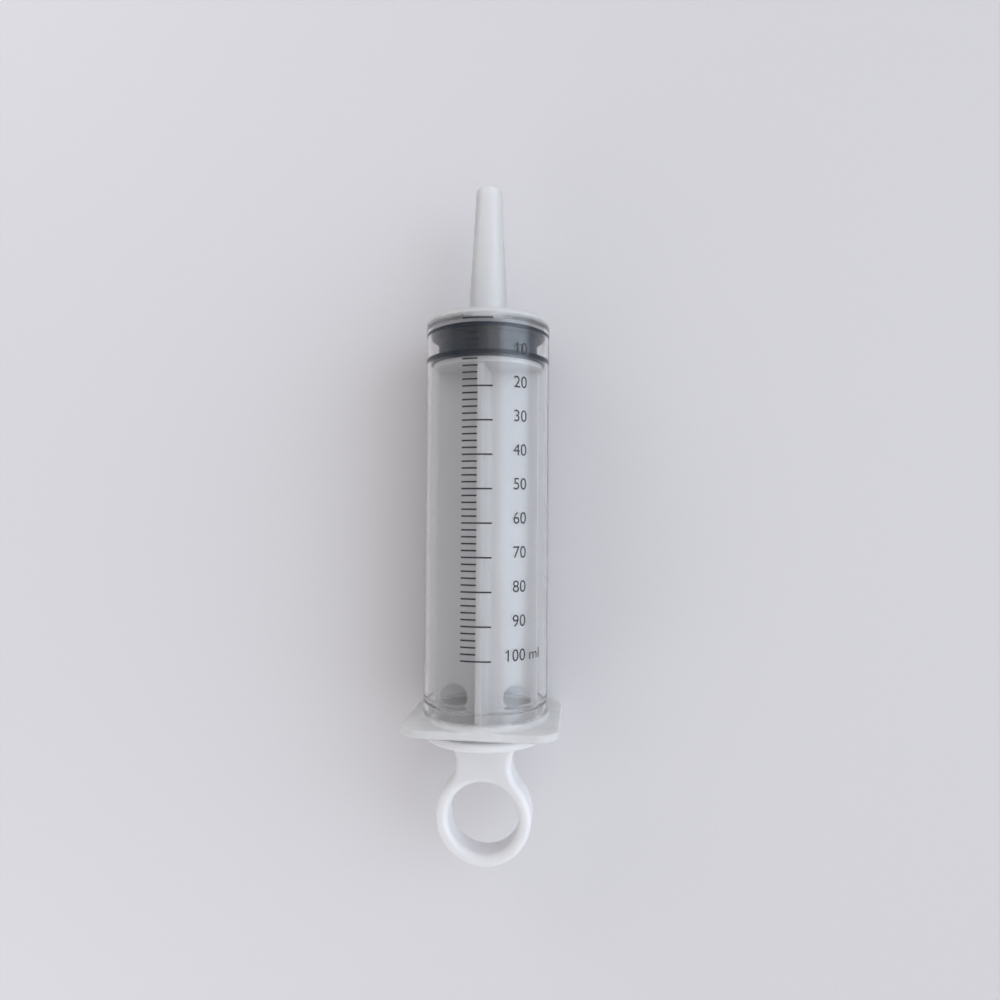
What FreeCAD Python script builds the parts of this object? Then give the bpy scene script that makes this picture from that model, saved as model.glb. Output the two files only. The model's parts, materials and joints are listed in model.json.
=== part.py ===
"""Irrigation syringe of 100 ml, with a catheter nozzle and a thumb ring.

The syringe lies on its side along Y, with the nozzle towards +Y and +Z up. The flat on the
underside of its finger flange rests at Z = 0, and the origin is at that flat, in the middle of
the flange's rim. The plunger is pushed in, a little behind the zero mark. Lengths are in
millimetres. Each body is drawn about its own Y axis and then raised to the axis height, which
is the height of the flange's flat.
"""

import FreeCAD
import Part

import math
import os
import re

import Sketcher

SIZES = (
    ("bore_radius", 18.0, "inside of the tube"),
    ("barrel_wall", 1.2, "wall of the tube"),
    ("chamber_depth", 120.5, "rear face of the flange to the zero mark"),
    ("end_cone_height", 2.0, "rise of the cone that closes the chamber"),
    ("shoulder_height", 3.3, "zero mark to the outer edge of the shoulder"),
    ("shoulder_rise", 0.6, "slope of the shoulder towards the nozzle"),
    ("shoulder_round", 1.4, "outer edge of the shoulder"),
    ("nozzle_length", 42.0, "catheter nozzle in front of the shoulder"),
    ("nozzle_base_radius", 6.2, "nozzle at its root"),
    ("nozzle_tip_radius", 3.95, "nozzle at its tip"),
    ("nozzle_root_round", 1.5, "fillet between shoulder and nozzle"),
    ("nozzle_tip_round", 0.5, "rounded lip of the nozzle"),
    ("nozzle_base_wall", 1.3, "wall of the nozzle at its root"),
    ("nozzle_tip_wall", 1.05, "wall of the nozzle at its tip"),
    ("flange_side_ledge", 4.0, "tube to each side of the finger flange"),
    ("flange_flat_ledge", 0.8, "tube to the flats above and below it"),
    ("flange_corner_radius", 6.5, "corners of the flange"),
    ("flange_thickness", 2.4, "plate of the flange"),
    ("flange_round", 0.6, "edges of the flange's rim"),
    ("flange_root_radius", 1.5, "hollow curve between tube and flange"),
    ("lead_in_width", 0.8, "widening of the mouth"),
    ("lead_in_length", 3.0, "depth of the widened mouth"),
    ("bead_position", 8.0, "rear face of the flange to the retaining bead"),
    ("bead_radius", 2.2, "curve of the bead"),
    ("bead_height", 0.35, "how far the bead stands into the bore"),
    ("stopper_setback", 0.9, "zero mark to the stopper as it lies"),
    ("stopper_length", 9.5, "front lip to rear face"),
    ("lip_clearance", 0.05, "running fit of the lips in the bore"),
    ("front_lip_width", 1.3, "front sealing lip"),
    ("rear_lip_width", 1.7, "rear sealing lip"),
    ("lip_slope", 0.35, "slope from a lip down to the groove"),
    ("groove_depth", 2.6, "lip to the bottom of the groove"),
    ("groove_round", 0.4, "bottom corners of the groove"),
    ("lip_round", 0.3, "edges of the lips"),
    ("throat_radius", 6.5, "opening in the rear of the stopper"),
    ("throat_length", 2.6, "ledge that holds the rod's head"),
    ("cavity_radius", 8.6, "cavity for the rod's head"),
    ("cavity_length", 3.6, "length of that cavity"),
    ("head_clearance", 0.3, "rod's head inside the stopper"),
    ("head_chamfer", 1.2, "lead-in on the rod's head"),
    ("seat_gap", 0.2, "stopper to the disc that pushes it"),
    ("front_disc_clearance", 1.0, "front disc to the bore"),
    ("front_disc_thickness", 1.6, "disc behind the stopper"),
    ("front_disc_round", 0.3, "edges of that disc"),
    ("rib_clearance", 2.0, "rib edges to the bore"),
    ("rib_thickness", 2.0, "each rib"),
    ("rib_root_round", 0.8, "fillets where the ribs cross"),
    ("rib_edge_round", 0.4, "outer edges of the ribs"),
    ("rib_end_round", 0.5, "fillets where the ribs meet the discs"),
    ("window_radius", 4.3, "round window in the flat rib"),
    ("window_offset", 9.8, "axis to the centre of a window"),
    ("window_position", 7.2, "rear face of the flange to the windows"),
    ("end_gap", 1.2, "flange to the end disc as it lies"),
    ("end_disc_overlap", 1.0, "how far the end disc is wider than the bore"),
    ("end_disc_thickness", 2.5, "disc behind the flange"),
    ("end_disc_round", 0.7, "edges of the end disc"),
    ("neck_arc_radius", 9.5, "hollow curve at each side of the neck"),
    ("neck_arc_drop", 8.5, "end disc to the centre of that curve"),
    ("neck_root_round", 0.8, "fillet between end disc and neck"),
    ("ring_distance", 24.7, "end disc to the centre of the ring"),
    ("ring_inner_radius", 10.9, "thumb hole"),
    ("ring_wall", 3.8, "hole to the outside of the thumb ring"),
    ("ring_depth", 10.0, "ring and neck, across their flat side"),
    ("ring_round", 1.7, "edges of the ring and neck"),
)

# Places along the axis, from the rear of the flange to the tip of the nozzle.
MOUTH = "(-flange_thickness / 2)"
FLANGE_FRONT = "(flange_thickness / 2)"
FLANGE_ROOT = f"({FLANGE_FRONT} + flange_root_radius)"
ZERO_MARK = f"({MOUTH} + chamber_depth)"
CONE_END = f"({ZERO_MARK} + end_cone_height)"
SHOULDER = f"({ZERO_MARK} + shoulder_height)"
NOZZLE_ROOT = f"({SHOULDER} + shoulder_rise)"
NOZZLE_TIP = f"({SHOULDER} + nozzle_length)"
BEAD = f"({MOUTH} + bead_position)"

# Places along the axis on the plunger as it lies.
LIP_FRONT = f"({ZERO_MARK} - stopper_setback)"
STOPPER_REAR = f"({LIP_FRONT} - stopper_length)"
LEDGE = f"({STOPPER_REAR} + throat_length)"
CAVITY_END = f"({LEDGE} + cavity_length)"
PUSH_FACE = f"({STOPPER_REAR} - seat_gap)"
RIB_FRONT = f"({PUSH_FACE} - front_disc_thickness)"
RIB_REAR = f"({MOUTH} - end_gap)"
HANDLE = f"({RIB_REAR} - end_disc_thickness)"
RING = f"({HANDLE} - ring_distance)"

# Radii that follow from a fit or a wall.
TUBE_RADIUS = "(bore_radius + barrel_wall)"
FLANGE_SIDE = f"({TUBE_RADIUS} + flange_side_ledge)"
FLANGE_FLAT = f"({TUBE_RADIUS} + flange_flat_ledge)"
LIP_RADIUS = "(bore_radius - lip_clearance)"
GROOVE_RADIUS = f"({LIP_RADIUS} - groove_depth)"
HEAD_RADIUS = "(cavity_radius - head_clearance)"
STEM_RADIUS = "(throat_radius - head_clearance)"
FRONT_DISC_RADIUS = "(bore_radius - front_disc_clearance)"
END_DISC_RADIUS = "(bore_radius + end_disc_overlap)"
RIB_REACH = "(bore_radius - rib_clearance)"
LUMEN_BASE_RADIUS = "(nozzle_base_radius - nozzle_base_wall)"
LUMEN_TIP_RADIUS = "(nozzle_tip_radius - nozzle_tip_wall)"
RING_OUTER_RADIUS = "(ring_inner_radius + ring_wall)"

ORIGIN_POINT = (-1, 1)
LINE_ACROSS = -1
LINE_ALONG = -2
NEAR = 0.001

doc = FreeCAD.newDocument("irrigation_syringe")
sheet = doc.addObject("Spreadsheet::Sheet", "Sizes")
for row, (alias, value, note) in enumerate(SIZES, start=1):
    sheet.set(f"A{row}", note)
    sheet.set(f"B{row}", str(value))
    sheet.setAlias(f"B{row}", alias)
doc.recompute()


def bound(text):
    """Write the sheet's name before each of its aliases in an expression."""
    aliases = {alias for alias, _, _ in SIZES}
    return re.sub(
        r"[a-z_]+",
        lambda word: f"Sizes.{word.group(0)}" if word.group(0) in aliases else word.group(0),
        text,
    )


def worth(text):
    """Return the present value of an expression on the sheet."""
    return float(sheet.evalExpression(bound(text)))


def new_body(label):
    """Start a sub-part that is drawn about its own Y axis and raised to the axis height."""
    body = doc.addObject("PartDesign::Body", label)
    body.Label = label
    body.setExpression(".Placement.Base.z", bound(FLANGE_FLAT))
    return body


def new_sketch(body, name, role):
    """Lay a sketch on one of the body's origin planes."""
    plane = next(item for item in body.Origin.OriginFeatures if item.Role == role)
    sketch = body.newObject("Sketcher::SketchObject", name)
    sketch.AttachmentSupport = [(plane, "")]
    sketch.MapMode = "FlatFace"
    return sketch


def hold(sketch, kind, geometry, text):
    """Add a dimension to a sketch and bind it to the sheet."""
    index = sketch.addConstraint(Sketcher.Constraint(kind, *geometry, worth(text)))
    sketch.setExpression(f"Constraints[{index}]", bound(text))


def place_point(sketch, point, across, along):
    """Hold a sketch point at its two distances from the origin."""
    if across == "0":
        sketch.addConstraint(Sketcher.Constraint("PointOnObject", *point, LINE_ALONG))
    else:
        hold(sketch, "DistanceX", (*ORIGIN_POINT, *point), across)
    if along == "0":
        sketch.addConstraint(Sketcher.Constraint("PointOnObject", *point, LINE_ACROSS))
    else:
        hold(sketch, "DistanceY", (*ORIGIN_POINT, *point), along)


def arc_between(start, end, radius, long_way):
    """Return the counter-clockwise arc of this radius from start to end."""
    chord = end - start
    middle = (start + end) / 2
    height = math.sqrt(max(radius**2 - (chord.Length / 2) ** 2, 0))
    side = FreeCAD.Vector(-chord.y, chord.x, 0).normalize()
    centre = middle - side * height if long_way else middle + side * height
    first = math.atan2(start.y - centre.y, start.x - centre.x)
    last = math.atan2(end.y - centre.y, end.x - centre.x)
    circle = Part.Circle(centre, FreeCAD.Vector(0, 0, 1), radius)
    return Part.ArcOfCircle(circle, first, last)


def draw_outline(sketch, corners):
    """Draw a closed outline through corners.

    A corner is (across, along), or (across, along, radius, turn) where an arc leads to the
    next corner. The turn is left, right or left_long, as one walks along the outline.
    """
    points = [FreeCAD.Vector(worth(corner[0]), worth(corner[1]), 0) for corner in corners]
    starts = []
    ends = []
    for index, corner in enumerate(corners):
        start = points[index]
        end = points[(index + 1) % len(points)]
        if len(corner) == 2:
            edge = sketch.addGeometry(Part.LineSegment(start, end), False)
            starts.append((edge, 1))
            ends.append((edge, 2))
            continue
        radius, turn = corner[2:]
        if turn == "right":
            edge = sketch.addGeometry(arc_between(end, start, worth(radius), False), False)
            starts.append((edge, 2))
            ends.append((edge, 1))
        else:
            long_way = turn == "left_long"
            edge = sketch.addGeometry(arc_between(start, end, worth(radius), long_way), False)
            starts.append((edge, 1))
            ends.append((edge, 2))
        hold(sketch, "Radius", (edge,), radius)
    for index, corner in enumerate(corners):
        sketch.addConstraint(Sketcher.Constraint("Coincident", *ends[index - 1], *starts[index]))
        place_point(sketch, starts[index], corner[0], corner[1])


def draw_circle(sketch, across, along, radius):
    """Draw a circle about a held centre."""
    centre = FreeCAD.Vector(worth(across), worth(along), 0)
    circle = Part.Circle(centre, FreeCAD.Vector(0, 0, 1), worth(radius))
    edge = sketch.addGeometry(circle, False)
    hold(sketch, "Radius", (edge,), radius)
    place_point(sketch, (edge, 3), across, along)


def turned(body, name, corners):
    """Revolve a half section about the body's Y axis."""
    sketch = new_sketch(body, f"{name}_section", "XY_Plane")
    draw_outline(sketch, corners)
    feature = body.newObject("PartDesign::Revolution", name)
    feature.Profile = sketch
    feature.ReferenceAxis = (sketch, ["V_Axis"])
    feature.Angle = 360
    doc.recompute()
    return feature


def padded(body, name, sketch, thickness):
    """Pad a sketch by half its thickness to each side."""
    feature = body.newObject("PartDesign::Pad", name)
    feature.Profile = sketch
    feature.Midplane = True
    feature.setExpression("Length", bound(thickness))
    doc.recompute()
    return feature


def rounded(body, name, radius, chosen):
    """Fillet those edges of the body's tip that the chosen test picks."""
    base = body.Tip
    edges = [
        f"Edge{number}"
        for number, edge in enumerate(base.Shape.Edges, start=1)
        if chosen(edge)
    ]
    feature = body.newObject("PartDesign::Fillet", name)
    feature.Base = (base, edges)
    feature.setExpression("Radius", bound(radius))
    doc.recompute()
    return feature


def is_hoop(edge, radius, along):
    """Say whether an edge is a circle about the Y axis at this radius and place."""
    if not isinstance(edge.Curve, Part.Circle):
        return False
    centre = edge.Curve.Center
    return (
        abs(edge.Curve.Radius - worth(radius)) < NEAR
        and abs(centre.y - worth(along)) < NEAR
        and math.hypot(centre.x, centre.z) < NEAR
    )


def lies_at(edge, along):
    """Say whether an edge lies in the plane across the Y axis at this place."""
    box = edge.BoundBox
    return abs(box.YMin - worth(along)) < NEAR and abs(box.YMax - worth(along)) < NEAR


def from_axis(edge):
    """Return how far the middle of an edge lies from the Y axis."""
    return math.hypot(edge.CenterOfMass.x, edge.CenterOfMass.z)


def is_on_flange_outline(edge):
    """Say whether an edge runs along the outline of the flange's plate."""
    if edge.BoundBox.YLength > worth("flange_thickness") / 2:
        return False
    if isinstance(edge.Curve, Part.Circle):
        return abs(edge.Curve.Radius - worth("flange_corner_radius")) < NEAR
    middle = edge.valueAt((edge.FirstParameter + edge.LastParameter) / 2)
    on_flat = abs(abs(middle.z) - worth(FLANGE_FLAT)) < NEAR
    on_side = abs(abs(middle.x) - worth(FLANGE_SIDE)) < NEAR
    return on_flat or on_side


def make_barrel():
    """The barrel is one moulding: nozzle, shoulder, tube, retaining bead and finger flange."""
    body = new_body("barrel")
    side_middle = f"({FLANGE_SIDE} - flange_corner_radius)"
    flat_middle = f"({FLANGE_FLAT} - flange_corner_radius)"
    blank_radius = f"({side_middle} + {flat_middle} + flange_corner_radius)"
    bead_reach = "sqrt(bead_radius ^ 2 - (bead_radius - bead_height) ^ 2)"
    turned(
        body,
        "barrel_shell",
        [
            ("bore_radius + lead_in_width", MOUTH),
            (blank_radius, MOUTH),
            (blank_radius, FLANGE_FRONT),
            (f"{TUBE_RADIUS} + flange_root_radius", FLANGE_FRONT, "flange_root_radius", "right"),
            (TUBE_RADIUS, FLANGE_ROOT),
            (TUBE_RADIUS, SHOULDER),
            ("nozzle_base_radius", NOZZLE_ROOT),
            ("nozzle_tip_radius", NOZZLE_TIP),
            (LUMEN_TIP_RADIUS, NOZZLE_TIP),
            (LUMEN_BASE_RADIUS, CONE_END),
            ("bore_radius", ZERO_MARK),
            ("bore_radius", f"{BEAD} + {bead_reach}", "bead_radius", "right"),
            ("bore_radius", f"{BEAD} - {bead_reach}"),
            ("bore_radius", f"{MOUTH} + lead_in_length"),
        ],
    )
    trim = new_sketch(body, "flange_outline", "XZ_Plane")
    draw_circle(trim, "0", "0", f"{blank_radius} + flange_thickness")
    draw_outline(
        trim,
        [
            (f"-{side_middle}", f"-{FLANGE_FLAT}"),
            (side_middle, f"-{FLANGE_FLAT}", "flange_corner_radius", "left"),
            (FLANGE_SIDE, f"-{flat_middle}"),
            (FLANGE_SIDE, flat_middle, "flange_corner_radius", "left"),
            (side_middle, FLANGE_FLAT),
            (f"-{side_middle}", FLANGE_FLAT, "flange_corner_radius", "left"),
            (f"-{FLANGE_SIDE}", flat_middle),
            (f"-{FLANGE_SIDE}", f"-{flat_middle}", "flange_corner_radius", "left"),
        ],
    )
    plate = body.newObject("PartDesign::Pocket", "flange_plate")
    plate.Profile = trim
    plate.Type = "ThroughAll"
    plate.Midplane = True
    doc.recompute()
    rounded(body, "flange_rim", "flange_round", is_on_flange_outline)
    rounded(body, "shoulder_edge", "shoulder_round", lambda edge: is_hoop(edge, TUBE_RADIUS, SHOULDER))
    rounded(
        body,
        "nozzle_root",
        "nozzle_root_round",
        lambda edge: is_hoop(edge, "nozzle_base_radius", NOZZLE_ROOT),
    )
    rounded(
        body,
        "nozzle_lip",
        "nozzle_tip_round",
        lambda edge: is_hoop(edge, "nozzle_tip_radius", NOZZLE_TIP),
    )
    return body


def make_stopper():
    """The rubber stopper has two lips, a groove between them and a cavity for the rod's head."""
    body = new_body("stopper")
    groove_front = f"({LIP_FRONT} - front_lip_width - lip_slope)"
    groove_rear = f"({STOPPER_REAR} + rear_lip_width + lip_slope)"
    turned(
        body,
        "stopper_section",
        [
            ("0", f"{LIP_FRONT} + end_cone_height"),
            ("0", CAVITY_END),
            ("cavity_radius", CAVITY_END),
            ("cavity_radius", LEDGE),
            ("throat_radius", LEDGE),
            ("throat_radius", STOPPER_REAR),
            (LIP_RADIUS, STOPPER_REAR),
            (LIP_RADIUS, f"{STOPPER_REAR} + rear_lip_width"),
            (GROOVE_RADIUS, groove_rear),
            (GROOVE_RADIUS, groove_front),
            (LIP_RADIUS, f"{LIP_FRONT} - front_lip_width"),
            (LIP_RADIUS, LIP_FRONT),
            (LUMEN_BASE_RADIUS, f"{LIP_FRONT} + end_cone_height"),
        ],
    )
    rounded(
        body,
        "groove_corners",
        "groove_round",
        lambda edge: is_hoop(edge, GROOVE_RADIUS, groove_front)
        or is_hoop(edge, GROOVE_RADIUS, groove_rear),
    )
    lip_edges = (
        LIP_FRONT,
        f"{LIP_FRONT} - front_lip_width",
        f"{STOPPER_REAR} + rear_lip_width",
        STOPPER_REAR,
    )
    rounded(
        body,
        "lip_edges",
        "lip_round",
        lambda edge: any(is_hoop(edge, LIP_RADIUS, along) for along in lip_edges),
    )
    return body


def draw_handle(sketch):
    """Draw the neck and the thumb ring, with a hollow curve that runs into the ring."""
    ring_sum = f"({RING_OUTER_RADIUS} + neck_arc_radius)"
    rise = "(ring_distance - neck_arc_drop)"
    arc_across = f"sqrt({ring_sum} ^ 2 - {rise} ^ 2)"
    root = f"({arc_across} - sqrt(neck_arc_radius ^ 2 - neck_arc_drop ^ 2))"
    touch_across = f"({arc_across} * {RING_OUTER_RADIUS} / {ring_sum})"
    touch_along = f"({RING} + {rise} * {RING_OUTER_RADIUS} / {ring_sum})"
    draw_outline(
        sketch,
        [
            (f"-{root}", HANDLE, "neck_arc_radius", "right"),
            (f"-{touch_across}", touch_along, RING_OUTER_RADIUS, "left_long"),
            (touch_across, touch_along, "neck_arc_radius", "right"),
            (root, HANDLE),
        ],
    )
    draw_circle(sketch, "0", RING, "ring_inner_radius")


def make_plunger_rod():
    """The rod is one moulding: snap head, front disc, crossed ribs, end disc, neck and ring."""
    body = new_body("plunger_rod")
    handle = new_sketch(body, "handle_outline", "XY_Plane")
    draw_handle(handle)
    padded(body, "handle", handle, "ring_depth")
    rounded(
        body,
        "handle_edges",
        "ring_round",
        lambda edge: isinstance(edge.Curve, Part.Circle) and edge.BoundBox.ZLength < NEAR,
    )
    turned(
        body,
        "end_disc",
        [
            ("0", HANDLE),
            (END_DISC_RADIUS, HANDLE),
            (END_DISC_RADIUS, RIB_REAR),
            ("0", RIB_REAR),
        ],
    )
    rounded(
        body,
        "end_disc_edges",
        "end_disc_round",
        lambda edge: is_hoop(edge, END_DISC_RADIUS, HANDLE)
        or is_hoop(edge, END_DISC_RADIUS, RIB_REAR),
    )
    rounded(
        body,
        "neck_root",
        "neck_root_round",
        lambda edge: lies_at(edge, HANDLE) and not isinstance(edge.Curve, Part.Circle),
    )
    flat_rib = new_sketch(body, "flat_rib_outline", "XY_Plane")
    draw_outline(
        flat_rib,
        [
            (f"-{RIB_REACH}", RIB_REAR),
            (RIB_REACH, RIB_REAR),
            (RIB_REACH, RIB_FRONT),
            (f"-{RIB_REACH}", RIB_FRONT),
        ],
    )
    for sign in ("", "-"):
        draw_circle(flat_rib, f"{sign}window_offset", f"{MOUTH} + window_position", "window_radius")
    padded(body, "flat_rib", flat_rib, "rib_thickness")
    upright_rib = new_sketch(body, "upright_rib_outline", "YZ_Plane")
    draw_outline(
        upright_rib,
        [
            (RIB_REAR, f"-{RIB_REACH}"),
            (RIB_FRONT, f"-{RIB_REACH}"),
            (RIB_FRONT, RIB_REACH),
            (RIB_REAR, RIB_REACH),
        ],
    )
    padded(body, "upright_rib", upright_rib, "rib_thickness")
    half_rib = worth("rib_thickness") / 2
    rounded(
        body,
        "rib_roots",
        "rib_root_round",
        lambda edge: isinstance(edge.Curve, Part.Line)
        and abs(abs(edge.CenterOfMass.x) - half_rib) < NEAR
        and abs(abs(edge.CenterOfMass.z) - half_rib) < NEAR,
    )
    rib_corner = math.hypot(worth(RIB_REACH), half_rib)
    rounded(
        body,
        "rib_edges",
        "rib_edge_round",
        lambda edge: isinstance(edge.Curve, Part.Line)
        and edge.BoundBox.YLength > half_rib
        and abs(from_axis(edge) - rib_corner) < NEAR,
    )
    turned(
        body,
        "front_disc_and_head",
        [
            ("0", RIB_FRONT),
            (FRONT_DISC_RADIUS, RIB_FRONT),
            (FRONT_DISC_RADIUS, PUSH_FACE),
            (STEM_RADIUS, PUSH_FACE),
            (STEM_RADIUS, f"{LEDGE} + head_clearance"),
            (HEAD_RADIUS, f"{LEDGE} + head_clearance"),
            (HEAD_RADIUS, f"{CAVITY_END} - head_clearance - head_chamfer"),
            (f"{HEAD_RADIUS} - head_chamfer", f"{CAVITY_END} - head_clearance"),
            ("0", f"{CAVITY_END} - head_clearance"),
        ],
    )
    rounded(
        body,
        "front_disc_edges",
        "front_disc_round",
        lambda edge: is_hoop(edge, FRONT_DISC_RADIUS, RIB_FRONT)
        or is_hoop(edge, FRONT_DISC_RADIUS, PUSH_FACE),
    )
    rounded(
        body,
        "rib_ends",
        "rib_end_round",
        lambda edge: (lies_at(edge, RIB_FRONT) or lies_at(edge, RIB_REAR)) and from_axis(edge) > NEAR,
    )
    return body


def save(bodies):
    """Check every object of the document, then write one file for each sub-part."""
    doc.recompute()
    for item in doc.Objects:
        if {"Invalid", "Error"} & set(item.State):
            raise RuntimeError(f"{item.Name} is {item.State}")
    for body in bodies:
        shape = body.Shape
        if shape.isNull() or not shape.isValid() or len(shape.Solids) != 1:
            raise RuntimeError(f"{body.Label} has no single valid solid")
    os.makedirs("parts", exist_ok=True)
    for body in bodies:
        body.Shape.exportStep(f"parts/{body.Label}.step")
        box = body.Shape.optimalBoundingBox()
        print(
            body.Label,
            f"volume {body.Shape.Volume:.0f} mm3,",
            f"X {box.XMin:.2f} to {box.XMax:.2f},",
            f"Y {box.YMin:.2f} to {box.YMax:.2f},",
            f"Z {box.ZMin:.2f} to {box.ZMax:.2f}",
        )


save([make_barrel(), make_stopper(), make_plunger_rod()])
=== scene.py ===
# %% [markdown]
# # The looks of a 100 ml irrigation syringe
#
# The syringe has three pieces: a clear barrel with a catheter nozzle, a rubber stopper, and a
# milky plunger rod with a thumb ring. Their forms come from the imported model, which this lesson
# never moves or resizes. What it adds is the finish of each piece, the scale that is printed on
# the barrel, and a plain studio to see them in. Every place is in metres, in the model's own frame:
# the barrel lies along Y with its nozzle towards +Y, and the table is at Z = 0.

import json
import math

import bmesh
import bpy
from mathutils import Matrix, Vector


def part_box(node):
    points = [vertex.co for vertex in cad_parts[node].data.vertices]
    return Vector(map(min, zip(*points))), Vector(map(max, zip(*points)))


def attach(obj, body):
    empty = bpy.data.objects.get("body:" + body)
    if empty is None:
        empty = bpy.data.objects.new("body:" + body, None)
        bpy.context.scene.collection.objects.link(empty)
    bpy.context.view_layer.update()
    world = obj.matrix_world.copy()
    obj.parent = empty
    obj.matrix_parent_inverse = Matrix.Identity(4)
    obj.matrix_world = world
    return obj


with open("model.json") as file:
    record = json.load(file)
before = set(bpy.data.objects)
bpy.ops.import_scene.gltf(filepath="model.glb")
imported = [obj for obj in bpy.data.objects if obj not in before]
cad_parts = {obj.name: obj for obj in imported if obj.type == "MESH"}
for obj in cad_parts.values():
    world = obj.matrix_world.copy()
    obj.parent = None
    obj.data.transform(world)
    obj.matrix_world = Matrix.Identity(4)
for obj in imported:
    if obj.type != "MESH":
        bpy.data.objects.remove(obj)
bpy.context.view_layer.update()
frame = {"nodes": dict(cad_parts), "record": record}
scene = bpy.context.scene
scene.view_settings.view_transform = "Standard"

# %% [markdown]
# ## Sizes that the print and the finishes follow
#
# A scale only reads right if it is worked out from the tube that it is printed on. The tube's
# outside and the height of its axis are in the record, as the mount that a holder grips, and the
# zero mark lies a little behind the stopper's nose. The middle of the flange is at Y = 0, so its
# front face is as far from there as the barrel's rear end. From the bore follows how far apart
# the marks stand: one millilitre is a disc of the bore's area.

# %% Sizes
MM = 0.001
BARREL_WALL = 1.2 * MM
NOSE_PAST_ZERO = 1.1 * MM
SHOULDER_TO_NOZZLE_TIP = 42 * MM

mounts = {mount["name"]: mount for mount in frame["record"]["mounts"]}
TUBE_RADIUS = mounts["barrel_grip"]["dims"]["r_mm"] * MM
AXIS_HEIGHT = mounts["barrel_grip"]["pos_m"][2]
BORE_RADIUS = TUBE_RADIUS - BARREL_WALL
ZERO_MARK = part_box("stopper")[1].y - NOSE_PAST_ZERO
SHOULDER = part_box("barrel")[1].y - SHOULDER_TO_NOZZLE_TIP
FLANGE_FRONT = -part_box("barrel")[0].y
MILLILITRE = 1e-6 / (math.pi * BORE_RADIUS**2)
print(f"zero mark at {ZERO_MARK / MM:.1f} mm, one millilitre takes {MILLILITRE / MM:.3f} mm")

# %% [markdown]
# ## Shader maths in plain Python
#
# A procedural finish is a sum of patterns. Written as nodes, even `1 - mask` takes five lines, so
# this small class wraps a socket and lets Python's own operators add the Math nodes. Every other
# node comes from its one method, which sets the node up and then gives its sockets their values
# or links.


# %% A socket that can be used in sums
class Signal:
    """One output of a node tree that works in Python expressions."""

    def __init__(self, tree, socket=None):
        self.tree = tree
        self.socket = socket

    def node(self, kind, settings=None, sockets=None, output=0):
        """Add a node of this kind: its settings first, then its sockets' values or links."""
        made = self.tree.nodes.new(kind)
        for name, value in (settings or {}).items():
            setattr(made, name, value)
        for name, value in (sockets or {}).items():
            if isinstance(value, Signal):
                self.tree.links.new(value.socket, made.inputs[name])
            else:
                made.inputs[name].default_value = value
        return Signal(self.tree, made.outputs[output])

    def _math(self, operation, first, second):
        return self.node("ShaderNodeMath", {"operation": operation}, {0: first, 1: second})

    def __add__(self, other):
        return self._math("ADD", self, other)

    __radd__ = __add__

    def __sub__(self, other):
        return self._math("SUBTRACT", self, other)

    def __rsub__(self, other):
        return self._math("SUBTRACT", other, self)

    def __mul__(self, other):
        return self._math("MULTIPLY", self, other)

    __rmul__ = __mul__


# %% [markdown]
# ## A finish is a Principled shader with a few patterns
#
# Numbers that are the same all over a piece are set on the shader's own sockets. Patterns feed
# only its colour, its roughness, its normal, the weight of its clear coat and, on the barrel, the
# share of a second shader. All patterns are read from the piece's own coordinates, in metres, so a
# noise scale of 1000 has features of about a millimetre, and the pattern stays on the piece when
# the plunger is drawn.


# %% Making a finish and putting it on
def new_finish(name, constants):
    """Make a material, set its shader's plain values, and return it with an empty signal."""
    material = bpy.data.materials.new(name)
    material.use_nodes = True
    shader = material.node_tree.nodes["Principled BSDF"]
    for socket, value in constants.items():
        shader.inputs[socket].default_value = value
    return material, shader, Signal(material.node_tree)


def drive(shader, socket, signal):
    """Link a pattern to one of the shader's sockets."""
    signal.tree.links.new(signal.socket, shader.inputs[socket])


def give(node_name, material):
    """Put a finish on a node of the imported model."""
    slots = frame["nodes"][node_name].data.materials
    slots.clear()
    slots.append(material)
    print(f"{node_name} wears {material.name}")


# %% [markdown]
# ## Noise for colour, and relief for the surface
#
# Moulded plastic and rubber are never quite even, and noise is the plainest pattern for that. It
# could come from a picture, but a noise node has no seams and no size limit. Fine grain is too
# small to be modelled, so a bump only tilts the shading, by a depth that is given in metres.


# %% Noise and relief
def noise(start, place, scale, detail=2.0, stretch=(1, 1, 1)):
    """Return a noise from 0 to 1, whose features are 1 / scale metres, stretched along an axis."""
    mapped = start.node("ShaderNodeMapping", {}, {"Vector": place, "Scale": stretch})
    return start.node("ShaderNodeTexNoise", {}, {"Vector": mapped, "Scale": scale, "Detail": detail})


def bump(start, height, depth):
    """Turn a pattern into a relief of this depth in metres."""
    return start.node("ShaderNodeBump", {}, {"Height": height, "Distance": depth, "Strength": 1.0})


# %% [markdown]
# ## The barrel: clear polypropylene
#
# The tube is moulded in a clear grade that is never quite as clear as glass. Real walls do most
# of the work here, because the model has its inside and outside surface, and a transmissive
# shader bends light at both. Thick plastic also scatters light, so the nozzle, the shoulder and
# the flange look milky where the thin tube stays clear. A volume that scatters light would be
# slow to render, so here a second, milky shader is mixed in, and its share follows the place along
# the barrel. A slow waviness from the flow of the melt bends the reflections a little.


# %% A soft step, and a mix of two shaders
def rises(start, value, low, high):
    """Return a smooth step from 0 where the value is low to 1 where it is high."""
    sockets = {"Value": value, "From Min": low, "From Max": high}
    return start.node("ShaderNodeMapRange", {"interpolation_type": "SMOOTHSTEP"}, sockets)


def mix_shaders(start, factor, first, second):
    """Send a mix of two shaders to the material's surface."""
    ends = [Signal(start.tree, shader.outputs[0]) for shader in (first, second)]
    mixed = start.node("ShaderNodeMixShader", {}, {0: factor, 1: ends[0], 2: ends[1]})
    start.tree.links.new(mixed.socket, start.tree.nodes["Material Output"].inputs["Surface"])


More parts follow.
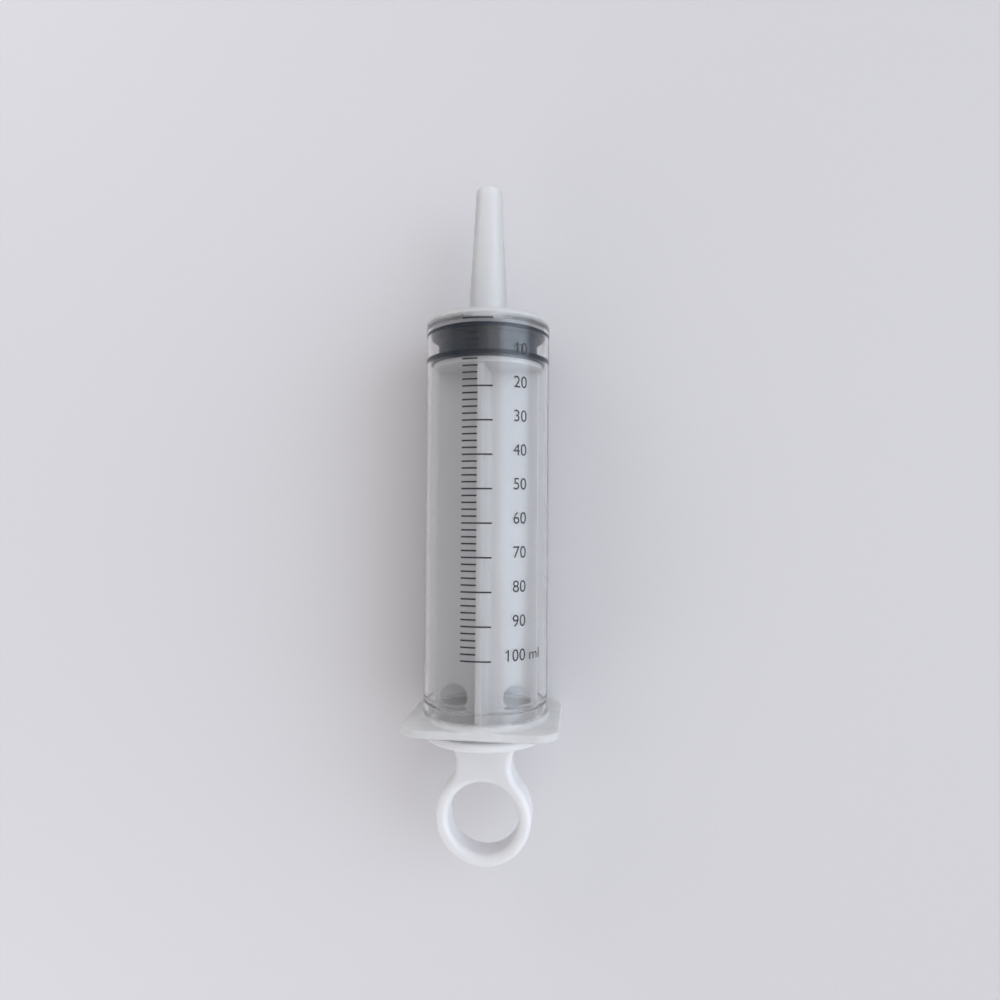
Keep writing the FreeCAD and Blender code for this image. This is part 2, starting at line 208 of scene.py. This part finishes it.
# %% Finish of the barrel
TUBE_HAZE = 0.005
SHOULDER_HAZE = 0.6
NOZZLE_HAZE = 0.42
FLANGE_HAZE = 0.65
SHOULDER_FADE = (SHOULDER - 3 * MM, SHOULDER - 1 * MM)
NOZZLE_FADE = (SHOULDER, SHOULDER + 6 * MM)
FLANGE_FADE = (FLANGE_FRONT + 2.5 * MM, FLANGE_FRONT + 0.5 * MM)
FLOW_DEPTH = 0.03 * MM
barrel_plastic, clear, start = new_finish(
    "clear_polypropylene",
    {"Base Color": (1.0, 1.0, 1.0, 1), "IOR": 1.49, "Transmission Weight": 1.0},
)
milky = start.node(
    "ShaderNodeBsdfPrincipled",
    {},
    {
        "Base Color": (0.93, 0.94, 0.955, 1),
        "IOR": 1.49,
        "Transmission Weight": 0.25,
        "Subsurface Weight": 1.0,
        "Subsurface Radius": (1.0, 1.0, 0.95),
        "Subsurface Scale": 2 * MM,
    },
)
place = start.node("ShaderNodeTexCoord", output="Object")
along = start.node("ShaderNodeSeparateXYZ", {}, {"Vector": place}, output="Y")
shoulder = rises(start, along, *SHOULDER_FADE)
nozzle = rises(start, along, *NOZZLE_FADE)
flange = rises(start, along, *FLANGE_FADE)
flow = noise(start, place, scale=55, stretch=(1, 0.35, 1))
smear = noise(start, place, scale=140, detail=4, stretch=(1, 0.5, 1))
haze = (
    TUBE_HAZE
    + (SHOULDER_HAZE - TUBE_HAZE) * shoulder
    + (NOZZLE_HAZE - SHOULDER_HAZE) * nozzle
    + (FLANGE_HAZE - TUBE_HAZE) * flange
)
relief = bump(start, flow, FLOW_DEPTH)
dullness = 0.04 + 0.07 * smear + 0.12 * shoulder + 0.14 * nozzle + 0.16 * flange
drive(clear, "Roughness", dullness)
drive(clear, "Normal", relief)
drive(milky.socket.node, "Roughness", 0.1 + dullness)
drive(milky.socket.node, "Normal", relief)
mix_shaders(start, haze * (0.8 + 0.4 * smear), clear, milky.socket.node)
give("barrel", barrel_plastic)

# %% [markdown]
# ## The plunger rod: milky polypropylene
#
# The rod is moulded without colour in a cheaper grade, so it is milky: thin ribs let light and
# blurred shapes through, thick parts look white. Subsurface scattering spreads the light inside
# the plastic, and a rough transmissive share lets what lies behind it show. A plain white shader
# would be quicker, but the ribs would then look like card. The mould was spark eroded, which leaves
# a very fine grain.


# %% Two colours mixed by a pattern
def blend_colours(start, factor, first, second):
    """Mix two colours by a pattern."""
    return start.node("ShaderNodeMix", {"data_type": "RGBA"}, {0: factor, 6: first, 7: second}, output=2)


# %% Finish of the rod
GRAIN_DEPTH = 0.01 * MM
rod_plastic, shader, start = new_finish(
    "milky_polypropylene",
    {
        "IOR": 1.49,
        "Transmission Weight": 0.2,
        "Subsurface Weight": 1.0,
        "Subsurface Radius": (1.0, 1.0, 0.96),
        "Subsurface Scale": 3 * MM,
    },
)
place = start.node("ShaderNodeTexCoord", output="Object")
cloud = noise(start, place, scale=90, detail=3)
grain = noise(start, place, scale=4500, detail=1)
whiteness = blend_colours(start, cloud, (0.785, 0.78, 0.79, 1), (0.835, 0.83, 0.84, 1))
drive(shader, "Base Color", whiteness)
drive(shader, "Roughness", 0.28 + 0.15 * cloud)
drive(shader, "Normal", bump(start, grain, GRAIN_DEPTH))
give("plunger_rod", rod_plastic)

# %% [markdown]
# ## The stopper: blue-black rubber
#
# Medical rubber is a matt blue-black with a thin film of silicone that lets it slide. The film is
# a clear coat over a dull base, and the base has the fine pores of a moulded rubber. One glossier
# base would shine everywhere alike; a coat of its own can lie thicker here and thinner there.

# %% Finish of the stopper
PORE_DEPTH = 0.015 * MM
rubber, shader, start = new_finish(
    "silicone_wet_rubber",
    {
        "Coat Roughness": 0.3,
        "Coat IOR": 1.4,
        "Specular IOR Level": 0.12,
    },
)
place = start.node("ShaderNodeTexCoord", output="Object")
pores = noise(start, place, scale=2600, detail=3)
film = noise(start, place, scale=160, detail=3)
blue_black = blend_colours(start, film, (0.004, 0.013, 0.028, 1), (0.009, 0.021, 0.044, 1))
drive(shader, "Base Color", blue_black)
drive(shader, "Roughness", 0.45 + 0.2 * pores)
drive(shader, "Coat Weight", 0.02 + 0.06 * film)
drive(shader, "Normal", bump(start, pores, PORE_DEPTH))
give("stopper", rubber)

# %% [markdown]
# ## Where the lips press on the bore
#
# The model leaves the stopper a running gap of 0.05 mm. On the real syringe the two lips are
# pressed against the bore, and no air is left between rubber and plastic. That changes the look:
# the wall acts as a lens there, so each dark lip seems to reach right out to the edge of the tube,
# and only the groove between them is seen at its own size. So each lip gets a thin band of the
# same rubber, which reaches a trace into the wall and rides with the stopper. Where the bands lie
# is read from the stopper's own mesh: they are its widest stretches.

# %% The bands
LIP_TOLERANCE = 0.04 * MM
LEAST_GROOVE = 3 * MM
BAND_INTO_WALL = 0.03 * MM
BAND_THICKNESS = 0.3 * MM
BAND_SIDES = 160


def widest_stretches(node_name, gap):
    """Return where along Y a round node has its largest radius, as pairs of ends."""
    vertices = [vertex.co for vertex in frame["nodes"][node_name].data.vertices]
    radii = [math.hypot(place.x, place.z - AXIS_HEIGHT) for place in vertices]
    least = max(radii) - LIP_TOLERANCE
    touching = sorted(place.y for place, radius in zip(vertices, radii) if radius > least)
    ends = [touching[0]]
    for before, after in zip(touching, touching[1:]):
        if after - before > gap:
            ends += [before, after]
    ends.append(touching[-1])
    return list(zip(ends[::2], ends[1::2]))


def add_band(bands, first, last):
    """Add a closed ring of rubber between two places along the axis."""
    outside = BORE_RADIUS + BAND_INTO_WALL
    inside = outside - BAND_THICKNESS
    loops = []
    for y, radius in [(first, outside), (last, outside), (last, inside), (first, inside)]:
        turns = [math.tau * side / BAND_SIDES for side in range(BAND_SIDES)]
        places = [(radius * math.sin(turn), y, AXIS_HEIGHT + radius * math.cos(turn)) for turn in turns]
        loops.append([bands.verts.new(place) for place in places])
    for number, loop in enumerate(loops):
        beyond = loops[(number + 1) % len(loops)]
        for side in range(BAND_SIDES):
            following = (side + 1) % BAND_SIDES
            bands.faces.new((loop[side], loop[following], beyond[following], beyond[side]))


bands = bmesh.new()
for first, last in widest_stretches("stopper", LEAST_GROOVE):
    print(f"a lip bears on the bore from {first / MM:.2f} to {last / MM:.2f} mm")
    add_band(bands, first, last)
bmesh.ops.recalc_face_normals(bands, faces=bands.faces)
mesh = bpy.data.meshes.new("stopper_lip_bands")
bands.to_mesh(mesh)
bands.free()
mesh.materials.append(rubber)
lip_bands = bpy.data.objects.new("stopper_lip_bands", mesh)
scene.collection.objects.link(lip_bands)
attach(lip_bands, "stopper")

# %% [markdown]
# ## The printed scale
#
# The scale is screen printed round the front of the tube: a mark every two millilitres, a longer
# one every ten, and plain numbers beside those. A picture laid on the tube would blur close up
# and would be a texture. Here the print is drawn flat, as a real printer's artwork is, in
# a mesh whose X is the way round the tube. Then it is cut into narrow strips and bent round the
# tube, so every edge of the ink stays sharp. The ink is a thin closed layer that stands 0.03 mm
# proud.

# %% The ink's layer, and what the scale counts
INK_GAP = 0.004 * MM
INK_THICKNESS = 0.03 * MM
MARK_EVERY = 2
NUMBER_EVERY = 10
FULL = 100
print(f"the scale is {FULL * MILLILITRE / MM:.1f} mm long and has {FULL // MARK_EVERY + 1} marks")

# %% [markdown]
# ## A mark is a bar of ink
#
# Each mark of the scale is a plain bar, and all of them start on one line at the left. A cube that
# is scaled to length, width and ink thickness is the shortest way to a closed bar.

# %% One mark
MARK_WIDTH = 0.46 * MM
MARKS_LEFT = -4.95 * MM
SHORT_MARK = 4.55 * MM
LONG_MARK = 9.0 * MM


def add_mark(flat, right, along):
    """Add one flat bar of ink to the artwork."""
    size = Vector((right - MARKS_LEFT, MARK_WIDTH, INK_THICKNESS))
    middle = Vector(((right + MARKS_LEFT) / 2, along, INK_GAP + INK_THICKNESS / 2))
    bmesh.ops.create_cube(flat, size=1, matrix=Matrix.LocRotScale(middle, None, size))


# %% [markdown]
# ## Numbers come from Blender's own font
#
# A text object has clean outlines and needs no font file. Each word is made as text, turned into
# a mesh as thick as the ink, measured, and put in its place. Two digits drawn at size 1 give the
# font's own proportions, and from those follow the size and the narrowing that the printer used.

# %% Words as meshes
DIGIT_HEIGHT = 3.4 * MM
DIGIT_PAIR_WIDTH = 4.3 * MM


def text_outline(words, size):
    """Return a mesh of these words, as thick as the ink."""
    curve = bpy.data.curves.new("words", "FONT")
    curve.body = words
    curve.size = size
    curve.extrude = INK_THICKNESS / 2
    carrier = bpy.data.objects.new("words", curve)
    scene.collection.objects.link(carrier)
    bpy.context.view_layer.update()
    evaluated = carrier.evaluated_get(bpy.context.evaluated_depsgraph_get())
    outline = bpy.data.meshes.new_from_object(evaluated)
    bpy.data.objects.remove(carrier)
    bpy.data.curves.remove(curve)
    return outline


def reach_of(outline, axis):
    """Return the lowest and highest place of a mesh along an axis."""
    values = [vertex.co[axis] for vertex in outline.vertices]
    return min(values), max(values)


font_sample = text_outline("20", 1)
sample_left, sample_right = reach_of(font_sample, 0)
sample_bottom, sample_top = reach_of(font_sample, 1)
LETTER_SIZE = DIGIT_HEIGHT / (sample_top - sample_bottom)
NARROWING = DIGIT_PAIR_WIDTH / (sample_right - sample_left) / LETTER_SIZE
print(f"letters are {LETTER_SIZE / MM:.2f} mm in size and {NARROWING:.2f} of their own width")


def add_outline(flat, outline, left, base, narrowing):
    """Add flat words to the artwork with their left end and their base line here."""
    first = reach_of(outline, 0)[0] * narrowing
    corner = Vector((left - first, base, INK_GAP + INK_THICKNESS / 2))
    outline.transform(Matrix.LocRotScale(corner, None, Vector((narrowing, 1, 1))))
    flat.from_mesh(outline)
    bpy.data.meshes.remove(outline)


# %% [markdown]
# ## The numbers of this scale
#
# The printer's 1 has a slanted stroke at its head that the font lacks, so a small flag is added.
# The numbers end on one line at the right, as figures in a column do, and the unit stands after
# the last of them.

# %% A flag, a number and the unit
NUMBERS_RIGHT = 14.7 * MM
FLAG_REACH = 0.6 * MM
FLAG_DROP = 0.75 * MM
FLAG_STROKE = 0.38 * MM
UNIT_LEFT = 16.3 * MM
UNIT_WIDTH = 4.4 * MM
UNIT_SHARE = 0.88


def add_flag(flat, left, top):
    """Add the slanted stroke that a printed 1 has at its head."""
    bottom_layer = [
        (left + FLAG_STROKE, top),
        (left - FLAG_REACH, top - FLAG_DROP),
        (left - FLAG_REACH, top - FLAG_DROP - FLAG_STROKE),
        (left + FLAG_STROKE, top - FLAG_STROKE),
    ]
    corners = [flat.verts.new((x, y, INK_GAP)) for x, y in bottom_layer]
    flag = bmesh.ops.extrude_face_region(flat, geom=[flat.faces.new(corners)])
    raised = [part for part in flag["geom"] if isinstance(part, bmesh.types.BMVert)]
    bmesh.ops.translate(flat, verts=raised, vec=(0, 0, INK_THICKNESS))


def add_number(flat, volume, middle):
    """Add a plain number to the artwork, ending at the right-hand edge of the column."""
    outline = text_outline(str(volume), LETTER_SIZE)
    first, last = reach_of(outline, 0)
    left = NUMBERS_RIGHT - (last - first) * NARROWING
    base = middle - DIGIT_HEIGHT / 2
    add_outline(flat, outline, left, base, NARROWING)
    if str(volume)[0] == "1":
        add_flag(flat, left, base + DIGIT_HEIGHT)


def add_unit(flat, middle):
    """Add the unit after the last number, a little smaller than the digits."""
    outline = text_outline("ml", LETTER_SIZE * UNIT_SHARE)
    first, last = reach_of(outline, 0)
    add_outline(flat, outline, UNIT_LEFT, middle - DIGIT_HEIGHT / 2, UNIT_WIDTH / (last - first))


# %% [markdown]
# ## Round the tube
#
# A flat sheet bends round a tube when its X becomes an angle and its height becomes a radius. Long
# edges would cut through the wall as chords, so the artwork is sliced every 0.4 mm first. A Bend
# modifier could do this too, but its result depends on where the object's origin lies.

# %% Bending the artwork
BEND_STEP = 0.4 * MM
SAME_PLACE = 0.001 * MM


def print_on_tube(flat, name):
    """Bend the flat artwork round the tube and return it as a piece that rides on the barrel."""
    bmesh.ops.remove_doubles(flat, verts=flat.verts, dist=SAME_PLACE)
    reach = [vertex.co.x for vertex in flat.verts]
    steps = range(math.floor(min(reach) / BEND_STEP) + 1, math.ceil(max(reach) / BEND_STEP))
    for step in steps:
        everything = flat.verts[:] + flat.edges[:] + flat.faces[:]
        cut = (step * BEND_STEP, 0, 0)
        bmesh.ops.bisect_plane(flat, geom=everything, plane_co=cut, plane_no=(1, 0, 0))
    for vertex in flat.verts:
        angle = vertex.co.x / TUBE_RADIUS
        radius = TUBE_RADIUS + vertex.co.z
        vertex.co = Vector((radius * math.sin(angle), vertex.co.y, AXIS_HEIGHT + radius * math.cos(angle)))
    bmesh.ops.recalc_face_normals(flat, faces=flat.faces)
    mesh = bpy.data.meshes.new(name)
    flat.to_mesh(mesh)
    flat.free()
    piece = bpy.data.objects.new(name, mesh)
    scene.collection.objects.link(piece)
    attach(piece, "barrel")
    print(f"{name}: {len(mesh.polygons)} faces")
    return piece


# %% The marks
marks = bmesh.new()
for volume in range(0, FULL + 1, MARK_EVERY):
    length = SHORT_MARK if volume % NUMBER_EVERY else LONG_MARK
    add_mark(marks, MARKS_LEFT + length, ZERO_MARK - volume * MILLILITRE)
scale_marks = print_on_tube(marks, "scale_marks")

# %% The numbers
NUMBERS_RAISED = 1.6 * MM
numbers = bmesh.new()
for volume in range(NUMBER_EVERY, FULL + 1, NUMBER_EVERY):
    add_number(numbers, volume, ZERO_MARK - volume * MILLILITRE + NUMBERS_RAISED)
add_unit(numbers, ZERO_MARK - FULL * MILLILITRE + NUMBERS_RAISED)
scale_numbers = print_on_tube(numbers, "scale_numbers")

# %% [markdown]
# ## The ink
#
# Screen ink on polypropylene dries to a dense black that is never quite even: the mesh of the
# screen leaves it a little mottled, and it is duller than the plastic round it.

# %% Finish of the ink
MOTTLE_DEPTH = 0.004 * MM
ink, shader, start = new_finish("screen_ink", {"Specular IOR Level": 0.4})
place = start.node("ShaderNodeTexCoord", output="Object")
mottle = noise(start, place, scale=2200)
blackness = blend_colours(start, mottle, (0.008, 0.008, 0.010, 1), (0.035, 0.035, 0.040, 1))
drive(shader, "Base Color", blackness)
drive(shader, "Roughness", 0.35 + 0.25 * mottle)
drive(shader, "Normal", bump(start, mottle, MOTTLE_DEPTH))
for piece in (scale_marks, scale_numbers):
    piece.data.materials.append(ink)
    print(f"{piece.name} wears {ink.name}")

# %% [markdown]
# ## The studio
#
# Clear and milky plastics show their form by what they refract, so the floor is a pale grey and
# not white: bright edges and dark edges both stand out from it. The level is plain: a card of a
# given grey renders at about that grey. The floor reaches far out, so that the tube doesn't mirror
# its edge.

# %% The floor
FLOOR_HALF = 6.0
bpy.ops.mesh.primitive_plane_add(size=2 * FLOOR_HALF)
floor = bpy.context.object
floor.name = "floor"
floor_paint, shader, start = new_finish("pale_floor", {"Roughness": 0.6, "Specular IOR Level": 0.2})
place = start.node("ShaderNodeTexCoord", output="Object")
fibres = noise(start, place, scale=700, detail=4)
paleness = blend_colours(start, fibres, (0.635, 0.622, 0.636, 1), (0.655, 0.642, 0.656, 1))
drive(shader, "Base Color", paleness)
floor.data.materials.append(floor_paint)
print(f"the floor is {2 * FLOOR_HALF:.0f} m wide and wears {floor_paint.name}")

# %% [markdown]
# ## Light from a room
#
# Most of the light comes from the world. Its horizon is even, and overhead it is dimmer on the
# left than on the right, with one bluish window low on the right. The tube mirrors that change as
# a slow gradient over the dark stopper, which tells the eye that the tube is round and glossy.
# A picture of a real room would do the same, but would need a file of its own, and a few nodes are
# enough.

# %% The world
HORIZON = 0.66
DARK_SIDE = 0.42
BRIGHT_SIDE = 0.98
WINDOW_STRENGTH = 2.1
WINDOW_DIRECTION = Vector((0.86, 0.12, 0.5)).normalized()
WINDOW_EDGE = (0.80, 0.97)
DIM_TO_BRIGHT = (-0.4, 0.45)
HORIZON_TO_OVERHEAD = (0.15, 0.55)
world = bpy.data.worlds.new("studio")
scene.world = world
world.use_nodes = True
start = Signal(world.node_tree)
direction = start.node("ShaderNodeTexCoord", output="Generated")
sideways = start.node("ShaderNodeSeparateXYZ", {}, {"Vector": direction}, output="X")
upwards = start.node("ShaderNodeSeparateXYZ", {}, {"Vector": direction}, output="Z")
nearness = start.node(
    "ShaderNodeVectorMath", {"operation": "DOT_PRODUCT"}, {0: direction, 1: WINDOW_DIRECTION}, output="Value"
)
window = rises(start, nearness, *WINDOW_EDGE)
overhead = DARK_SIDE + (BRIGHT_SIDE - DARK_SIDE) * rises(start, sideways, *DIM_TO_BRIGHT)
height = rises(start, upwards, *HORIZON_TO_OVERHEAD)
background = world.node_tree.nodes["Background"]
drive(background, "Strength", HORIZON * (1 - height) + overhead * height + WINDOW_STRENGTH * window)
drive(background, "Color", blend_colours(start, window, (1.0, 0.985, 1.0, 1), (0.76, 0.87, 1.0, 1)))
print(f"the sky goes from {DARK_SIDE} to {BRIGHT_SIDE} overhead, over a horizon of {HORIZON}")

# %% [markdown]
# ## Three soft lamps
#
# A world alone leaves the form a little flat. A large lamp on the window's side gives the shadow
# a direction, and two smaller ones lift the ring and the nozzle. Those two stand past the ends of
# the syringe, where the tube doesn't mirror them towards the camera.


# %% The lamps
def add_lamp(name, place, aim, size, power, colour):
    """Add a soft rectangular lamp that the camera doesn't see."""
    light = bpy.data.lights.new(name, "AREA")
    light.shape = "RECTANGLE"
    light.size, light.size_y = size
    light.energy = power
    light.color = colour
    lamp = bpy.data.objects.new(name, light)
    scene.collection.objects.link(lamp)
    lamp.location = place
    lamp.rotation_euler = (Vector(aim) - Vector(place)).to_track_quat("-Z", "Y").to_euler()
    lamp.visible_camera = False
    print(f"lamp {name}: {power} W")


MIDDLE = (0, 0.06, 0.02)
WINDOW_SIZE = (0.9, 0.9)
WINDOW_POWER = 0.6
END_SIZE = (0.4, 0.4)
END_POWER = 0.8
END_COLOUR = (1.0, 0.98, 0.985)
add_lamp("window", (0.44, 0.06, 0.50), MIDDLE, WINDOW_SIZE, WINDOW_POWER, (1.0, 0.985, 0.99))
add_lamp("ring_end", (-0.42, -0.42, 0.28), MIDDLE, END_SIZE, END_POWER, END_COLOUR)
add_lamp("nozzle_end", (-0.42, 0.54, 0.28), MIDDLE, END_SIZE, END_POWER, END_COLOUR)

# %% [markdown]
# ## The camera
#
# The photograph looks down on the syringe from close by, a little to the right of its axis. That
# is why the marks, which stand on top of the tube, lie left of the middle of its outline. The place
# and the lens were worked out from the spacing of the printed marks and from the widths of the
# stopper and the ring, so the perspective matches.

# %% The camera
CAMERA_PLACE = Vector((28.64, 62.97, 229.75)) * MM
CAMERA_AIM = Vector((4.10, 67.35, 20.0)) * MM
CAMERA_ROLL = math.radians(0.4)
LENS = 24.37
SENSOR_WIDTH = 36
NEAREST = 5 * MM
camera = bpy.data.objects.new("camera", bpy.data.cameras.new("camera"))
scene.collection.objects.link(camera)
scene.camera = camera
camera.data.lens = LENS
camera.data.sensor_width = SENSOR_WIDTH
camera.data.clip_start = NEAREST
backwards = (CAMERA_PLACE - CAMERA_AIM).normalized()
right = Vector((0, 1, 0)).cross(backwards).normalized()
look = Matrix((right, backwards.cross(right), backwards)).transposed().to_4x4()
camera.matrix_world = Matrix.Translation(CAMERA_PLACE) @ look @ Matrix.Rotation(CAMERA_ROLL, 4, "Z")
print("camera at", tuple(round(value / MM, 1) for value in CAMERA_PLACE), "mm")
